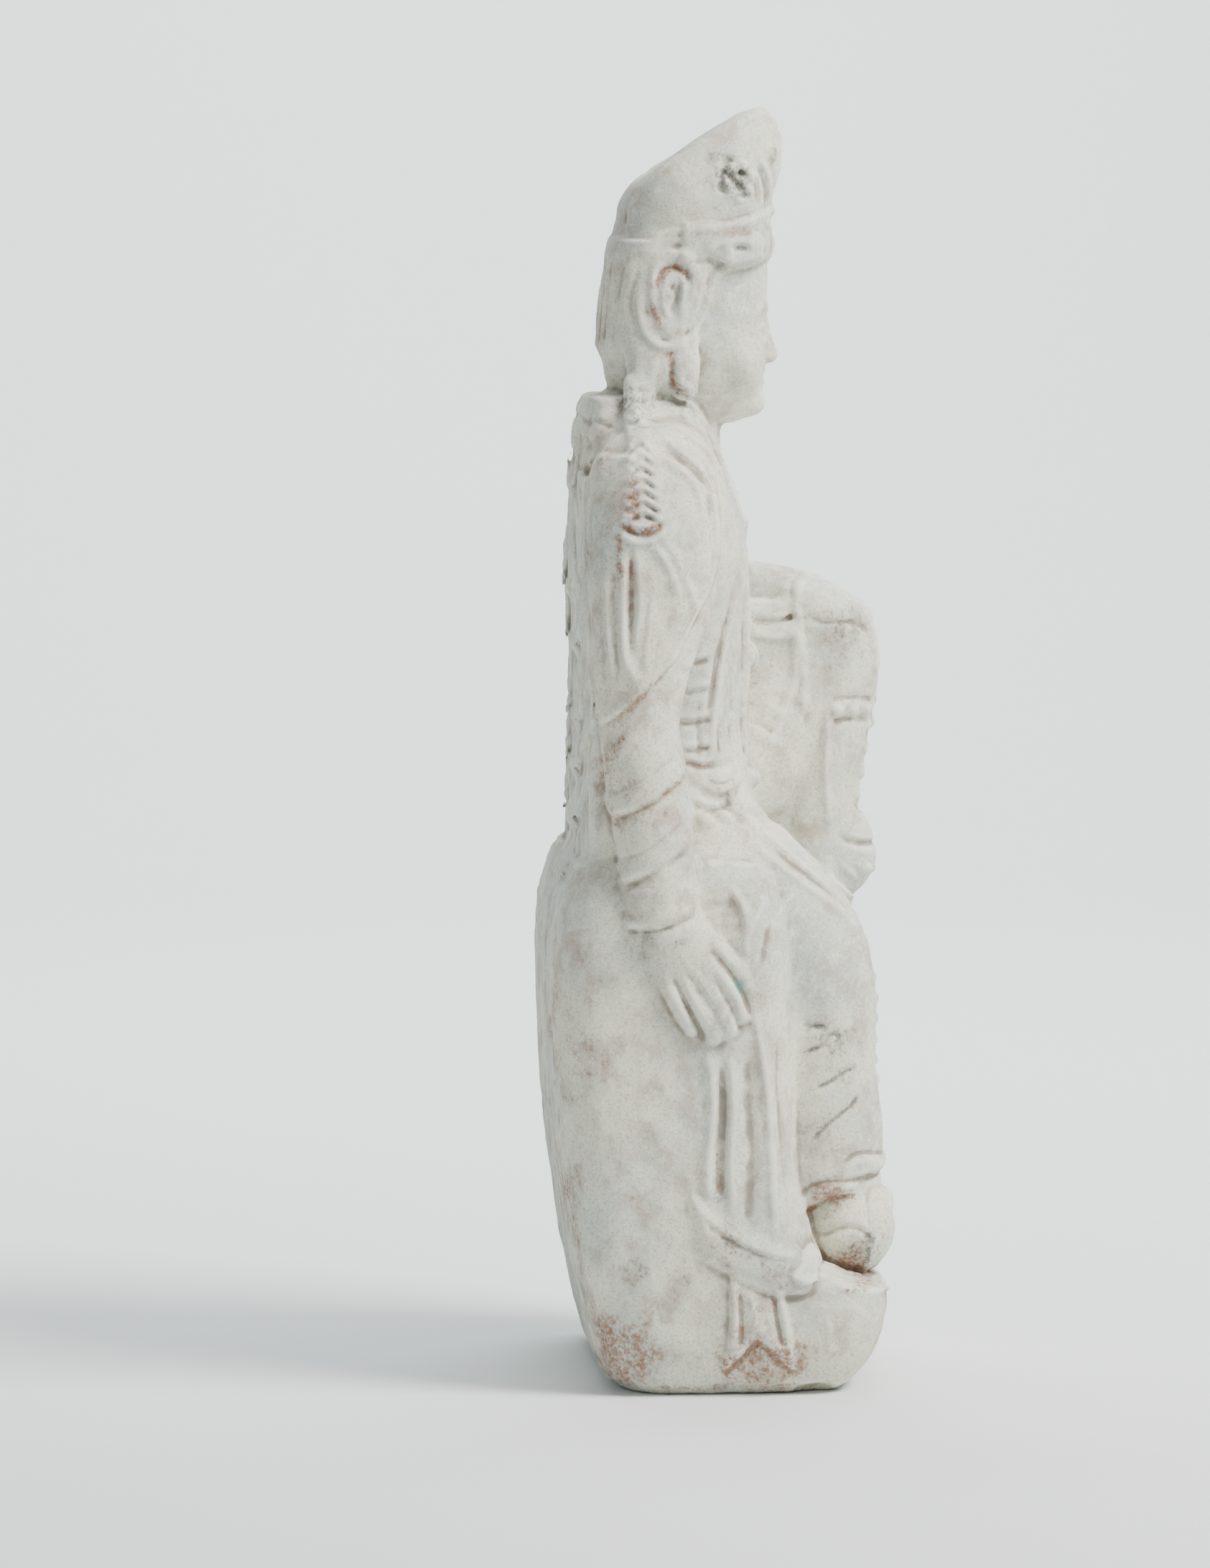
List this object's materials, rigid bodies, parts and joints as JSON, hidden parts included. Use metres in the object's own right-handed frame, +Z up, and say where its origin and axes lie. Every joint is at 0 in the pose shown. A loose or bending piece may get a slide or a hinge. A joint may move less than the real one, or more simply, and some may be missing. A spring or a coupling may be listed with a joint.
{
  "type": "bodhisattva statue",
  "caption": "Weathered pale stone statue of a crowned bodhisattva at royal ease on a rock seat, one foot on a lotus, carved from one block.",
  "frame": {"origin": "middle of the flat underside, on the surface that the statue stands on", "axes": "+Z up, the figure looks towards -Y, its right hand is on the -X side"},
  "size_m": [0.2332, 0.1724, 0.62],
  "materials": {
    "stone": "matte, weathered, with red-brown and grey residue in the recesses"
  },
  "bodies": {
    "root": {"bodhisattva_statue": "stone"}
  },
  "joints": []
}
